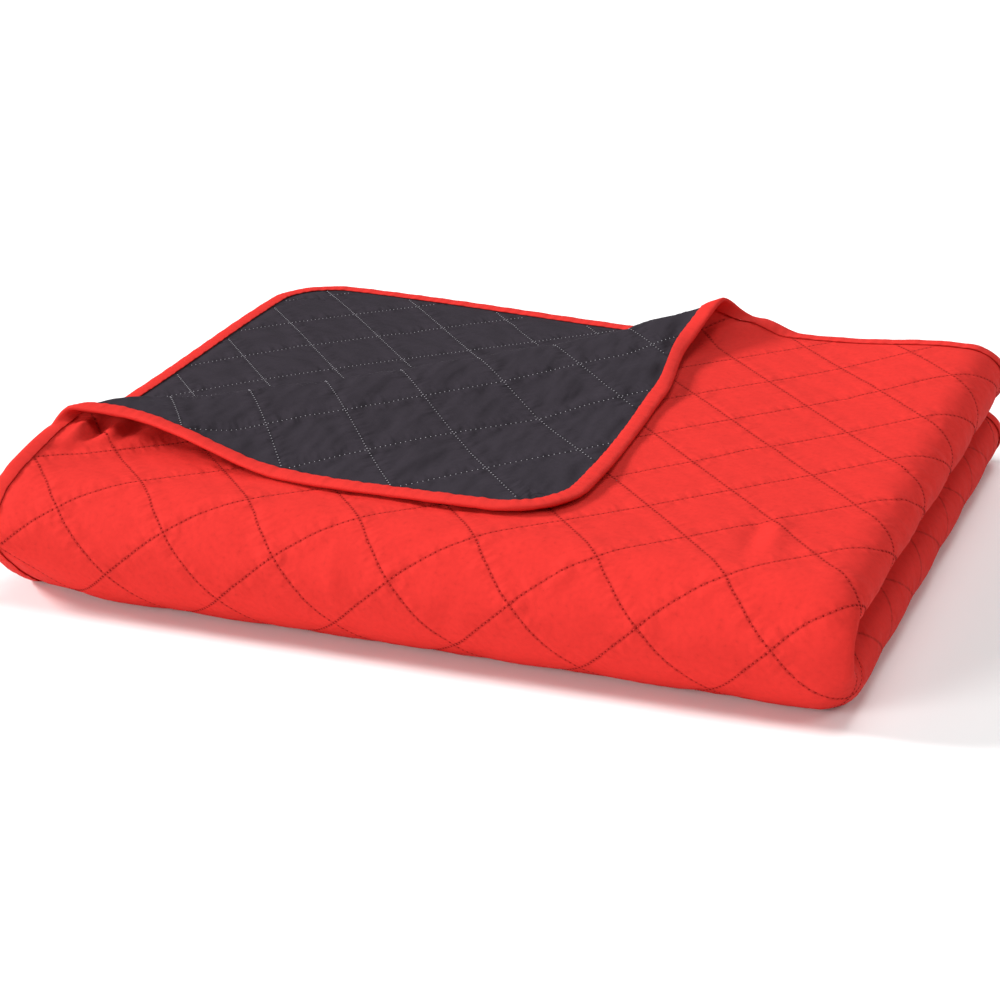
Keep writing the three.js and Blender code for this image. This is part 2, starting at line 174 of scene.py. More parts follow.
# soft creases of the lying cloth: where on the flat cloth, which way, how long, wide and high,
# and the run over which they set in from the rim
CREASES = (
    (-1.013, 0.200, 95, 0.028, 0.006, 0.0060),
    (-0.997, 0.208, 80, 0.026, 0.010, -0.0100),
    (-0.976, 0.212, 75, 0.024, 0.008, 0.0050),
    (-0.954, 0.238, 70, 0.030, 0.010, -0.0080),
    (-1.008, 0.158, 20, 0.026, 0.008, -0.0050),
    (-0.935, 0.240, 80, 0.030, 0.011, 0.0040),
    (-1.000, 0.120, 30, 0.030, 0.010, 0.0020),
    (-0.167, 0.176, 96, 0.050, 0.011, -0.0036),
    (-0.143, 0.184, 100, 0.050, 0.012, 0.0030),
    (-0.050, 0.300, 5, 0.030, 0.008, -0.0020),
    (-0.045, 0.345, 170, 0.030, 0.008, 0.0020),
    (-0.055, 0.420, 10, 0.034, 0.008, -0.0020),
    (-0.050, 0.520, 0, 0.034, 0.009, -0.0020),
    (-0.060, 0.215, 165, 0.030, 0.008, -0.0020),
    (-0.045, 0.120, 175, 0.030, 0.009, 0.0020),
    (-0.340, 0.062, 80, 0.040, 0.009, 0.0014),
    (-0.600, 0.020, 95, 0.045, 0.010, 0.0014),
    (-0.470, -0.020, 70, 0.045, 0.010, -0.0014),
    (-0.720, 0.070, 120, 0.035, 0.009, -0.0014),
    (-0.240, 0.420, 20, 0.050, 0.012, 0.0018),
    (-0.200, 0.640, 150, 0.050, 0.012, -0.0018),
    (-0.120, 0.700, 30, 0.045, 0.011, 0.0020),
    (-0.715, 0.770, 35, 0.045, 0.010, -0.0024),
    (-0.735, 0.735, 30, 0.050, 0.010, 0.0024),
    (-0.620, 0.800, 50, 0.045, 0.011, -0.0024),
    (-0.860, 0.560, 150, 0.050, 0.011, 0.0020),
    (-0.930, 0.500, 130, 0.045, 0.010, -0.0020),
    (-0.950, 0.660, 20, 0.045, 0.010, 0.0020),
    (0.930, 0.600, 60, 0.060, 0.012, -0.0018),
    (0.800, 0.700, 30, 0.060, 0.012, 0.0018),
    (0.700, 0.780, 160, 0.050, 0.011, -0.0018),
    (0.060, 0.150, 10, 0.030, 0.009, -0.0022),
    (0.060, 0.300, 175, 0.030, 0.009, 0.0022),
)
CREASE_RUN = (0.004, 0.03)

# small uneven puckers drawn in by the stitching: wavelength, direction and phase
PUCKERS = (
    (0.019, 12, 0.4),
    (0.023, 78, 2.1),
    (0.031, 140, 3.7),
    (0.027, 45, 5.2),
    (0.041, 101, 1.3),
    (0.055, 165, 4.4),
)

# grid of a panel: parts to half a diagonal where it shows, the spans where it is hidden as
# (from, to, parts), and how near the binding a line may come
FINE_PARTS = 11
FACE_HIDDEN_U = (0.06, 1.05, 4)
FACE_HIDDEN_V = (-0.85, -0.15, 5)
BACK_HIDDEN_U = (-0.38, 0.33, 4)
BACK_HIDDEN_V = (-0.85, 0.10, 4)
LINE_CLEAR = 0.003

# stitches: stitch lines to either side of the crossing, how near the binding a stitch may come,
# how far to either side of it its direction is measured, and where a bead sits on its line, both
# as shares of a stitch
STITCH_LINES = 20
STITCH_CLEAR = 0.004
DIRECTION_SHARE = 0.35
ON_HOLE = 0.0
BETWEEN_HOLES = 0.5

# beads below this height that face down more than this lie on the floor and are left out
LYING_BELOW = 0.0006
LYING_FACES = -0.9

# widths and heights of the quilting's beads, the needle holes' beads being dark marks of
# painted shade, the backing's stitch as a share of a needle hole, and length, width and height
# of a stitch of the binding
FACE_STITCH = (0.0011, 0.00045)
FACE_HOLE_SHADE = (0.0038, 0.0007)
BACK_STITCH = (0.0028, 0.0008)
BACK_STITCH_SHARE = 0.65
BINDING_STITCH = (0.0022, 0.0011, 0.0005)

# a bead's triangles, over its start, left, top, right and bottom points and its end, and how far
# its two ends are dropped, as a share of its height
BEAD_FACES = np.array([
    [0, 2, 1], [0, 3, 2], [0, 4, 3], [0, 1, 4],
    [5, 1, 2], [5, 2, 3], [5, 3, 4], [5, 4, 1],
])
BEAD_END_DROP = 0.4

# finish of the cloths and of what is plain: noises as (scale, detail) over the flat
# map, relief in millimetres, and random tones of the colour down to painted shade as (place, share)
CLOTH_SPECULAR = 0.04
PLAIN_SPECULAR = 0.1
SHEEN = 0.01
SHEEN_ROUGH = 0.5
MOTTLE = (160.0, 4.0)
CRINKLES = (26.0, 1.3)
CRINKLE_STRETCH = (0.5, 1.2)
WEAVE = (1500.0, 1.0)
WEAVE_HEIGHT = 0.06
TONES_AND_PAINTED_SHADE = ((0.0, 0.66), (0.38, 0.96), (0.64, 1.02))

# pleats along the stitch lines and painted shade in their valleys: stretch along a pleat, noise,
# and reaches as shares of a diamond's side
PLEAT_STRETCH = 0.4
PLEATS = (8.0, 1.0)
PLEAT_REACH = 0.26
LINE_PAINTED_SHADE = 0.45
LINE_PAINTED_SHADE_REACH = 0.035

# stage: the floor, the world's light beside the white that the camera sees, and the lamps as
# (name, place that they shine from, spread in degrees, power)
FLOOR_COLOUR = (0.95, 0.95, 0.95)
FLOOR_HALF_SIZE = 30.0
FLOOR_HEIGHT = -0.0005
WORLD_LIGHT = 0.18
LAMPS = (
    ("key_light", (-2.8, -0.2, 1.7), 15.0, 3.2),
    ("front_light", (-2.0, -2.8, 1.1), 25.0, 2.0),
    ("back_light", (0.0, 2.4, 2.4), 25.0, 0.8),
    ("right_light", (2.4, 0.2, 2.4), 25.0, 0.6),
    ("top_light", (0.3, 0.0, 3.0), 25.0, 0.75),
)

# the camera, as fitted to the quilting and the outline of the package
CAMERA_AZIMUTH = math.radians(21.88)
CAMERA_ELEVATION = math.radians(22.41)
CAMERA_ROLL = math.radians(-1.24)
CAMERA_PLACE = np.array([0.7355, -2.2914, 1.2010])
SENSOR_WIDTH = 36.0
CAMERA_LENS = SENSOR_WIDTH * 2.494
CAMERA_CLIP_END = 100.0


def ease(t):
    """Smooth step from 0 to 1: 3 t squared minus 2 t cubed, with t held between 0 and 1."""
    t = np.clip(t, 0.0, 1.0)
    return t * t * (3 - 2 * t)


def rise_over(value, run):
    """Smooth step from 0 to 1 over a run, which is its start and its length."""
    start, length = run
    return ease((value - start) / length)


def bump_at(x, bump):
    """A Gaussian along x of the given (place, width, height)."""
    place, width, height = bump
    return height * np.exp(-(((x - place) / width) ** 2))


def unit(vectors):
    """Vectors of length one."""
    return vectors / np.linalg.norm(vectors, axis=-1, keepdims=True).clip(1e-9)


def look_up(table, key, value, column):
    """A column of a table at any key: between two rows, the eased mean of their values."""
    keys = np.array(table[key], float)
    values = np.array(table[column], float)
    row = np.clip(np.searchsorted(keys, value) - 1, 0, len(keys) - 2)
    share = ease((value - keys[row]) / (keys[row + 1] - keys[row]))
    return values[row] + (values[row + 1] - values[row]) * share


def inset_of(u, v):
    """Distance to the cloth's rim: to the nearest side, or to the arc within a round corner."""
    in_u = FLAT_LENGTH / 2 - np.abs(u)
    in_v = FLAT_WIDTH / 2 - np.abs(v)
    corner = CORNER_RADIUS - np.hypot(CORNER_RADIUS - in_u, CORNER_RADIUS - in_v)
    at_corner = (in_u < CORNER_RADIUS) & (in_v < CORNER_RADIUS)
    return np.where(at_corner, corner, np.minimum(in_u, in_v))


def creases(u, v):
    """Troughs and ridges, listed one by one, each a Gaussian along and across its own direction.
    They fade out towards the rim."""
    rise = np.zeros_like(u)
    for place_u, place_v, turn, length, width, height in CREASES:
        way = math.radians(turn)
        du = u - place_u
        dv = v - place_v
        along = (du * math.cos(way) + dv * math.sin(way)) / length
        across = (dv * math.cos(way) - du * math.sin(way)) / width
        rise = rise + height * np.exp(-(along**2) - across**2)
    return rise * rise_over(inset_of(u, v), CREASE_RUN)


def fold_package(u, v):
    """The middle surface before the corner is turned back.

    The sheet is bent into a loop about the first fold, so that it is an outer and an inner
    layer, and that pair is swept round the front fold by the angle v over its radius. Beyond
    a quarter turn either way the layers run straight back, above and below.
    """
    along = u - FIRST_FOLD_U
    inner = along > 0
    shrink = (INNER_ARC_RADIUS - ARC_RADIUS) * ease(along / INNER_ARC_RUN)
    radius = ARC_RADIUS + np.where(inner, shrink, 0)
    angle = np.clip(v / radius, -math.pi / 2, math.pi / 2)
    beyond = np.abs(v - angle * radius)
    top = (1 + np.sin(angle)) / 2
    full = look_up(LOBE_TABLE, "angle", np.degrees(angle), "half")
    half = full - LOBE_SLIM * top * top * (1 - rise_over(beyond, LOBE_SLIM_RUN))
    quarter = (math.pi / 2) * np.sqrt((LOBE_REACH**2 + full**2) / 2)
    turn = np.clip(along / quarter, -1, 1) * (math.pi / 2)
    over = np.clip(np.abs(along) - quarter, 0, None)
    take_up = TAKE_UP + np.where(inner, 0, BACK_STRAIGHT * rise_over(v, BACK_STRAIGHT_RUN))
    x = RIGHT_END_X - LOBE_REACH * (1 - np.cos(turn)) - over * take_up
    depth = -half * (1 + np.sin(turn))
    opening = -(TOP_PAIR_GAP + (BOTTOM_PAIR_GAP - TOP_PAIR_GAP) * (1 - top))
    settled = ease(over / INNER_SETTLE_RUN)
    depth = np.where(inner, depth + (opening - depth) * settled, depth)
    short = np.where(inner, 1, 1 - LEFT_DRAWN * rise_over(over, LEFT_DRAWN_RUN))
    y = beyond * short - (ARC_RADIUS + depth) * np.cos(angle)
    z = ARC_Z + (ARC_RADIUS + depth) * np.sin(angle)
    return {"x": x, "y": y, "z": z, "along": along, "angle": angle, "over": over, "inner": inner}


def lying_unevenness(u, v, folded):
    """Slow waves of the lying layers, the raised rim below and the tucked-in left end of the
    front fold. Returns how far the cloth rises and how far it is drawn back."""
    x, y, inner, angle = folded["x"], folded["y"], folded["inner"], folded["angle"]
    above = v > 0
    flat = rise_over(np.abs(v), WAVE_RUN_V) * rise_over(folded["over"], WAVE_RUN_OVER)
    wave = sum(np.sin(x / run_x + y / run_y + phase) for run_x, run_y, phase in WAVES)
    back_edge = rise_over(v, BACK_EDGE_RUN)
    inner_rise = np.where(above, INNER_WAVE_ABOVE, INNER_WAVE_BELOW) * wave * flat
    inner_rise = inner_rise - bump_at(x, BACK_SAG) * back_edge
    rim = 1 - ease(inset_of(u, v) / RAISED_RIM_WIDTH)
    outer_above = OUTER_WAVE_ABOVE * wave * flat + bump_at(x, BACK_PUFF) * back_edge
    outer_below = RAISED_RIM * rim * rise_over(-v, RAISED_RIM_RUN)
    tuck = rise_over(-folded["along"], TUCK_RUN) * np.cos(angle)
    tuck = tuck * np.clip(-np.sin(angle) + TUCK_ABOVE_MIDDLE, 0, 1)
    outer_rise = np.where(above, outer_above, outer_below) + TUCK_RISE * tuck
    return np.where(inner, inner_rise, outer_rise), np.where(inner, 0, TUCK_DRAW * tuck)


def cloth(u, v):
    """Middle surface of the cloth in the row frame.

    Past the crease, the top layer goes round a roll by the angle of distance over radius, and
    then runs back over itself, sinking from the roll's height until its corner rests.
    """
    folded = fold_package(u, v)
    rise, draw = lying_unevenness(u, v, folded)
    x, y, z = folded["x"], folded["y"] + draw, folded["z"] + rise
    across = (x + y) * DIAGONAL
    set_back, radius, run, lift, fall_run = (
        look_up(ROLL_TABLE, "across", across, column)
        for column in ("set_back", "radius", "run", "lift", "fall"))
    start = (CREASE_OFFSET + set_back) * DIAGONAL
    past = (y - x) * DIAGONAL - start
    lift = lift * ease((past + run) / run)
    rolled = np.clip(past, 0, None)
    turn = np.clip(rolled / radius, 0, math.pi)
    free = np.clip(rolled - math.pi * radius, 0, None)
    line = start + radius * np.sin(turn) - free
    fall = ease(free / fall_run)
    height = radius * (1 - np.cos(turn)) + lift
    top_layer = (~folded["inner"]) & (v > 0)
    turned = top_layer & (past >= 0)
    x = np.where(turned, (across - line) * DIAGONAL, x)
    y = np.where(turned, (across + line) * DIAGONAL, y)
    raised = np.where(turned, height * (1 - fall) + FLAP_REST * fall, lift)
    z = z + np.where(top_layer, raised, 0)
    return np.stack([x, y, z], -1) - PACKAGE_ORIGIN


def normal_of(u, v):
    """Unit normal of the middle surface on the face side: the cross product of its slopes."""
    du = cloth(u + SLOPE_STEP, v) - cloth(u - SLOPE_STEP, v)
    dv = cloth(u, v + SLOPE_STEP) - cloth(u, v - SLOPE_STEP)
    return unit(np.cross(du, dv))


def sewn_askew(g, h):
    """From the quilting's own straight grid to the flat cloth: a shift of the second degree in
    the distance from a crossing, which fades out towards the binding."""
    fade_u = 1 - np.clip(np.abs(g) / (FLAT_LENGTH / 2 - BINDING_WIDTH), 0, 1) ** 3
    fade_v = 1 - np.clip(np.abs(h) / (FLAT_WIDTH / 2 - BINDING_WIDTH), 0, 1) ** 3
    x = np.clip(g - QUILT_U, *SEWN_RANGE_X)
    y = np.clip(h - QUILT_V, *SEWN_RANGE_Y)
    terms = (1, x, y, x * x, x * y, y * y)
    shift_u = sum(share * term for share, term in zip(SEWN_SHIFT_U, terms))
    shift_v = sum(share * term for share, term in zip(SEWN_SHIFT_V, terms))
    return g + shift_u * fade_u, h + shift_v * fade_v


def round_corner(u, v):
    """Squares about a corner's centre become circles of the same half width."""
    du = np.abs(u) - CORNER_U
    dv = np.abs(v) - CORNER_V
    at_corner = (du > 0) & (dv > 0)
    scale = np.where(at_corner, np.maximum(du, dv) / np.hypot(du, dv).clip(1e-9), 1)
    round_u = np.sign(u) * (CORNER_U + du * scale)
    round_v = np.sign(v) * (CORNER_V + dv * scale)
    return np.where(at_corner, round_u, u), np.where(at_corner, round_v, v)


def lines_passed(g, h):
    """How many stitch lines of each family lie between the crossing and a point of the grid."""
    first = (g - QUILT_U + h - QUILT_V) / (2 * HALF_DIAGONAL)
    second = (g - QUILT_U - h + QUILT_V) / (2 * HALF_DIAGONAL)
    return first, second


def puff(g, h, u, v):
    """Height of the quilting from 0 on a stitch line to 1 in a diamond's middle: a power of
    the product of two sines, one for each family of stitch lines, faded out at the binding."""
    first, second = (np.abs(np.sin(math.pi * passed)) for passed in lines_passed(g, h))
    return (first * second) ** PUFF_POWER * rise_over(inset_of(u, v), (BINDING_WIDTH, PUFF_FADE))


def puckers(g, h, phase):
    """Sum of short sine waves in several directions, about 1 high."""
    total = np.zeros_like(g)
    for length, turn, start in PUCKERS:
        way = math.radians(turn)
        distance = g * math.cos(way) + h * math.sin(way)
        total = total + np.sin(2 * math.pi * distance / length + start + phase)
    return total * 2 / len(PUCKERS)


class Ply:
    """One side of the quilted cloth: which side of the middle surface, its thickness on a
    stitch line, the heights of its puffs and puckers, and the phase of the puckers."""

    def __init__(self, side, thin, height, pucker, phase):
        self.side = side
        self.thin = thin
        self.height = height
        self.pucker = pucker
        self.phase = phase

    def moved_out(self, u, v, height, lowest):
        """The middle surface and its creases moved out along the normal, but not below a height."""
        offset = self.side * height + creases(u, v)
        points = cloth(u, v) + offset[..., None] * normal_of(u, v)
        points[..., 2] = np.maximum(points[..., 2], lowest)
        return points

    def outer(self, g, h, u, v):
        """Points of the quilted surface: its thickness, the puffs, and puckers on the puffs."""
        quilt = puff(g, h, u, v)
        height = PLY_GAP / 2 + self.thin + self.height * quilt
        height = height + self.pucker * puckers(g, h, self.phase) * quilt**0.5
        return self.moved_out(u, v, height, 0)

    def hidden(self, u, v):
        """Points of the surface that faces the other ply."""
        return self.moved_out(u, v, PLY_GAP / 2, PLY_GAP)


def grid_lines(size, start, hidden):
    """Lines of the quilting grid from rim to rim, with half diagonals split into FINE_PARTS, or
    into fewer parts in the hidden span."""
    end = size / 2
    lines = {-end, end, -end + BINDING_WIDTH, end - BINDING_WIDTH}
    first = math.floor((-end - start) / HALF_DIAGONAL)
    last = math.ceil((end - start) / HALF_DIAGONAL)
    hidden_from, hidden_to, fewer = hidden
    for cell in range(first, last):
        low = start + cell * HALF_DIAGONAL
        is_hidden = hidden_from <= low + HALF_DIAGONAL / 2 <= hidden_to
        parts = fewer if is_hidden else FINE_PARTS
        for part in range(parts):
            line = low + HALF_DIAGONAL * part / parts
            if abs(line) < end - BINDING_WIDTH - LINE_CLEAR:
                lines.add(line)
    return np.array(sorted(lines))


def triangulate(u_lines, v_lines):
    """Two triangles for each cell of the grid, split along the direction of the stitch lines
    that cross its diamond, and towards the corner in a round corner."""
    rows, columns = len(v_lines), len(u_lines)
    mid_u = (u_lines[:-1] + u_lines[1:]) / 2
    mid_v = (v_lines[:-1] + v_lines[1:]) / 2
    cell_u = np.floor((mid_u - QUILT_U) / HALF_DIAGONAL).astype(int)[None, :]
    cell_v = np.floor((mid_v - QUILT_V) / HALF_DIAGONAL).astype(int)[:, None]
    rising = (cell_u + cell_v) % 2 == 0
    out_u = np.abs(mid_u)[None, :] > CORNER_U
    out_v = np.abs(mid_v)[:, None] > CORNER_V
    same_way = mid_u[None, :] * mid_v[:, None] > 0
    rising = np.where(out_u & out_v, same_way, rising).ravel()
    number = np.arange(rows * columns).reshape(rows, columns)
    a, b = number[:-1, :-1].ravel(), number[:-1, 1:].ravel()
    c, d = number[1:, :-1].ravel(), number[1:, 1:].ravel()
    first = np.where(rising[:, None], np.stack([a, b, d], 1), np.stack([a, b, c], 1))
    second = np.where(rising[:, None], np.stack([a, d, c], 1), np.stack([b, d, c], 1))
    return np.concatenate([first, second]), number


def rim_ring(number):
    """Point numbers round the grid's edge, anticlockwise seen from the face side."""
    return np.concatenate([number[0, :-1], number[:-1, -1], number[-1, :0:-1], number[:0:-1, 0]])


def mesh_piece(name, points, triangles, material, maps=None):
    """A smooth object from whole arrays of points and triangles, with its flat maps if given."""
    mesh = bpy.data.meshes.new(name)
    mesh.vertices.add(len(points))
    mesh.vertices.foreach_set("co", np.ascontiguousarray(points, np.float32).ravel())
    mesh.loops.add(3 * len(triangles))
    mesh.loops.foreach_set("vertex_index", np.ascontiguousarray(triangles, np.int32).ravel())
    mesh.polygons.add(len(triangles))
    mesh.polygons.foreach_set("loop_start", np.arange(0, 3 * len(triangles), 3, dtype=np.int32))
    mesh.polygons.foreach_set("use_smooth", np.full(len(triangles), True))
    mesh.update(calc_edges=True)
    for map_name, flat in (maps or {}).items():
        layer = mesh.uv_layers.new(name=map_name)
        layer.data.foreach_set("uv", flat[triangles.ravel()].astype(np.float32).ravel())
    mesh.validate()
    mesh.materials.append(material)
    piece = bpy.data.objects.new(name, mesh)
    bpy.context.scene.collection.objects.link(piece)
    return piece


def quilted_panel(name, ply, hidden_u, hidden_v, material):
    """A ply of the bedspread as a closed sheet: its quilted side, its hidden side and a wall
    round the rim."""
    u_lines = grid_lines(FLAT_LENGTH, QUILT_U, hidden_u)
    v_lines = grid_lines(FLAT_WIDTH, QUILT_V, hidden_v)
    g, h = np.meshgrid(u_lines, v_lines)
    u, v = round_corner(*sewn_askew(g, h))
    outer = ply.outer(g, h, u, v).reshape(-1, 3)
    hidden = ply.hidden(u, v).reshape(-1, 3)
    triangles, number = triangulate(u_lines, v_lines)
    count = len(outer)
    ring = rim_ring(number)
    following = np.roll(ring, -1)
    wall = np.concatenate([
        np.stack([ring, ring + count, following + count], 1),
        np.stack([ring, following + count, following], 1),
    ])
    faces = np.concatenate([triangles, triangles[:, ::-1] + count, wall])
    if ply.side < 0:
        faces = faces[:, ::-1]
    first, second = lines_passed(g, h)
    maps = {
        "cloth_flat": np.tile(np.stack([u.ravel(), v.ravel()], 1), (2, 1)),
        "stitch_lines": np.tile(np.stack([first.ravel(), second.ravel()], 1), (2, 1)),
    }
    return mesh_piece(name, np.concatenate([outer, hidden]), faces, material, maps)


def rim_path(count):
    """Points round the cloth's rim at even steps, with the direction inwards and the distance
    travelled: four straight sides and four quarter circles, worked out from that distance."""
    ends = np.cumsum([0, *RIM_LEGS])
    distance = np.linspace(0, ends[-1], count, endpoint=False)
    leg = np.clip(np.searchsorted(ends, distance, side="right") - 1, 0, len(RIM_LEGS) - 1)
    share = (distance - ends[leg]) / RIM_LEGS[leg]
    side = leg // 2
    centre_u = np.array([CORNER_U, CORNER_U, -CORNER_U, -CORNER_U])[side]
    centre_v = np.array([-CORNER_V, CORNER_V, CORNER_V, -CORNER_V])[side]
    back_u = np.array([-CORNER_U, CORNER_U, CORNER_U, -CORNER_U])[side]
    back_v = np.array([-CORNER_V, -CORNER_V, CORNER_V, CORNER_V])[side]
    straight = leg % 2 == 0
    base_u = np.where(straight, back_u + (centre_u - back_u) * share, centre_u)
    base_v = np.where(straight, back_v + (centre_v - back_v) * share, centre_v)
    turn = (side - 1) * math.pi / 2 + np.where(straight, 0, share * math.pi / 2)
    out_u, out_v = np.cos(turn), np.sin(turn)
    return base_u + CORNER_RADIUS * out_u, base_v + CORNER_RADIUS * out_v, -out_u, -out_v, distance


class Tape:
    """The binding: one section carried round the rim, its points as (inset, side offset, reach)."""

    THICK = 0.0009
    CLEAR = 0.0007
    FACE = PLY_GAP / 2 + FACE_THIN + CLEAR
    BACK = PLY_GAP / 2 + BACK_THIN + CLEAR
    LOWEST = 0.0002

    # insets of a flange's outer and inner points, and where and how steeply its dome rises
    OUTER_INSETS = (0.017, 0.0164, 0.0145, 0.0115, 0.0075, 0.0035, 0.0)
    INNER_INSETS = (0.017, 0.008, 0.0)
    DOME_START = 0.001
    DOME_POWER = 0.7

    # how far the tape goes beyond the rim, at its tip and at a share of the way to each flange, and
    # how far in from the rim the direction outwards is measured
    TIP_REACH = 0.0028
    EDGE_REACH = 0.0022
    EDGE_SHARE = 0.75
    RIM_STEP = 0.004

    # waves of the pleats and dents: their length to a radian, how far it wanders and over what
    # length, and their share; the pleats are lower at the rim, and shifted along on the back
    PLEAT_WAVES = ((0.0021, 2.2, 0.047, 1.0), (0.0034, 1.7, 0.031, 0.8))
    DENT_WAVES = ((0.0068, 2.5, 0.083, 1.0),)
    PLEAT_HEIGHT = 0.00030
    DENT_HEIGHT = 0.00025
    PLEAT_AT_RIM = 0.25
    BACK_SHIFT = 0.3

    # points round the rim, width of the flat map to a point of the section, and the seam
    STATIONS = 3000
    MAP_STEP = 0.002
    SEAM_PITCH = 0.0032
    SEAM_INSET = BINDING_WIDTH - 0.0017
    SEAM_RISE = 0.0001

    def section(self, plump):
        """Outer line from the face flange round the edge to the back flange, then the inner
        line back again."""
        insets = np.array(self.OUTER_INSETS)
        share = np.clip((insets - self.DOME_START) / BINDING_WIDTH, 0, 1)
        dome = self.THICK + plump * np.sin(math.pi * share) ** self.DOME_POWER
        over = [(inset, self.FACE + rise, self.CLEAR) for inset, rise in zip(insets, dome)]
        under = [(inset, -self.BACK - rise, self.CLEAR) for inset, rise in zip(insets, dome)]
        edge = [
            (0, self.FACE * self.EDGE_SHARE, self.EDGE_REACH),
            (0, 0, self.TIP_REACH),
            (0, -self.BACK * self.EDGE_SHARE, self.EDGE_REACH),
        ]
        inner = [(inset, -self.BACK, self.CLEAR) for inset in self.INNER_INSETS]
        inner += [(inset, self.FACE, self.CLEAR) for inset in reversed(self.INNER_INSETS)]
        return np.array(over + edge + under[::-1] + inner, float)

    def waves(self, distance, table):
        """Sum of sine waves whose length wanders."""
        return sum(
            share * np.sin(distance / length + wander * np.sin(distance / wander_length))
            for length, wander, wander_length, share in table)

    def drawn(self, distance, side, inset):
        """Unevenness of the tape along the rim: short pleats that are deepest at its seam, and
        slower dents."""
        distance = distance + self.BACK_SHIFT * (side < 0)
        share = np.clip(inset / BINDING_WIDTH, 0, 1)
        depth = self.PLEAT_AT_RIM + (1 - self.PLEAT_AT_RIM) * share
        pleats = self.PLEAT_HEIGHT * self.waves(distance, self.PLEAT_WAVES) * depth
        return pleats + self.DENT_HEIGHT * self.waves(distance, self.DENT_WAVES)

    def surface(self, plump):
        """Grid of points, rim station by section point, and how far along the rim each station is."""
        u, v, in_u, in_v, distance = rim_path(self.STATIONS)
        out = unit(cloth(u, v) - cloth(u + in_u * self.RIM_STEP, v + in_v * self.RIM_STEP))
        points = []
        for inset, side, reach in self.section(plump):
            place_u, place_v = u + in_u * inset, v + in_v * inset
            offset = np.full(self.STATIONS, side)
            if abs(side) > max(self.FACE, self.BACK) + self.THICK / 2:
                offset = offset + np.sign(side) * self.drawn(distance, side, inset)
            point = cloth(place_u, place_v) + offset[:, None] * normal_of(place_u, place_v)
            if inset == 0:
                point = point + out * reach
            point[:, 2] = np.maximum(point[:, 2], self.LOWEST)
            points.append(point)
        return np.stack(points, 1), distance

    def seam(self, side):
        """Centres, directions and outward normals of the stitches along the tape's seam."""
        u, v, in_u, in_v, distance = rim_path(int(RIM_LEGS.sum() / self.SEAM_PITCH))
        place_u, place_v = u + in_u * self.SEAM_INSET, v + in_v * self.SEAM_INSET
        up = side * normal_of(place_u, place_v)
        height = (self.FACE if side > 0 else self.BACK) + self.THICK + self.SEAM_RISE
        height = height + self.drawn(distance, side, self.SEAM_INSET)
        centre = cloth(place_u, place_v) + height[:, None] * up
        along = unit(np.roll(centre, -1, 0) - np.roll(centre, 1, 0))
        return centre, along, up


def tube_faces(stations, around):
    """Triangles of a grid that is closed both ways: stations round the rim, points round."""
    number = np.arange(stations * around).reshape(stations, around)
    following = np.roll(number, -1, 0)
    a, b = number.ravel(), np.roll(number, -1, 1).ravel()
    c, d = following.ravel(), np.roll(following, -1, 1).ravel()
    return np.concatenate([np.stack([a, b, d], 1), np.stack([a, d, c], 1)])


def stitch_lines():
    """Needle points on the quilting's own grid, along both families of lines, with each line's
    slope, 1 or -1: at even steps of the stitch pitch, from binding to binding."""
    count = round(math.hypot(FLAT_LENGTH, FLAT_WIDTH) / STITCH_PITCH)
    steps = np.arange(-count, count) * STITCH_PITCH * DIAGONAL
    found = []
    for way in (1, -1):
        for line in range(-STITCH_LINES, STITCH_LINES + 1):
            g = QUILT_U + line * HALF_DIAGONAL + steps
            h = QUILT_V + way * (line * HALF_DIAGONAL - steps)
            u, v = sewn_askew(g, h)
            inside = (np.abs(g) < FLAT_LENGTH / 2) & (np.abs(h) < FLAT_WIDTH / 2)
            inside = inside & (inset_of(u, v) > BINDING_WIDTH + STITCH_CLEAR)
            found.append(np.stack([g, h, np.full_like(g, -way)], 1)[inside])
    return np.concatenate(found)


def beads(centre, along, up, length, width, height):
    """Small eight-sided spindles: two ends on the line, and left, top, right and bottom."""
    side = np.cross(up, along)
    corners = [
        centre - along * length / 2 - up * height * BEAD_END_DROP,
        centre + side * width / 2,
        centre + up * height,
        centre - side * width / 2,
        centre - up * height,
        centre + along * length / 2 - up * height * BEAD_END_DROP,
    ]
    points = np.stack(corners, 1).reshape(-1, 3)
    first = len(corners) * np.arange(len(centre))[:, None, None]
    return points, (BEAD_FACES[None] + first).reshape(-1, 3)


def quilting_beads(ply, shift, length, width, height):
    """Beads along all stitch lines of one ply, moved along the line by a share of a stitch."""
    needle_g, needle_h, slope = stitch_lines().T
    step = STITCH_PITCH * DIAGONAL

    def place(share):
        """Grid and flat coordinates of the beads, moved on by one more share of a stitch."""
        g = needle_g + (shift + share) * step
        h = needle_h + (shift + share) * step * slope
        return g, h, *sewn_askew(g, h)

    g, h, u, v = place(0.0)
    centre = ply.outer(g, h, u, v)
    along = unit(ply.outer(*place(DIRECTION_SHARE)) - ply.outer(*place(-DIRECTION_SHARE)))
    up = ply.side * normal_of(u, v)
    lying = (centre[:, 2] < LYING_BELOW) & (up[:, 2] < LYING_FACES)
    keep = ~lying
    return beads(centre[keep], along[keep], up[keep], length, width, height)


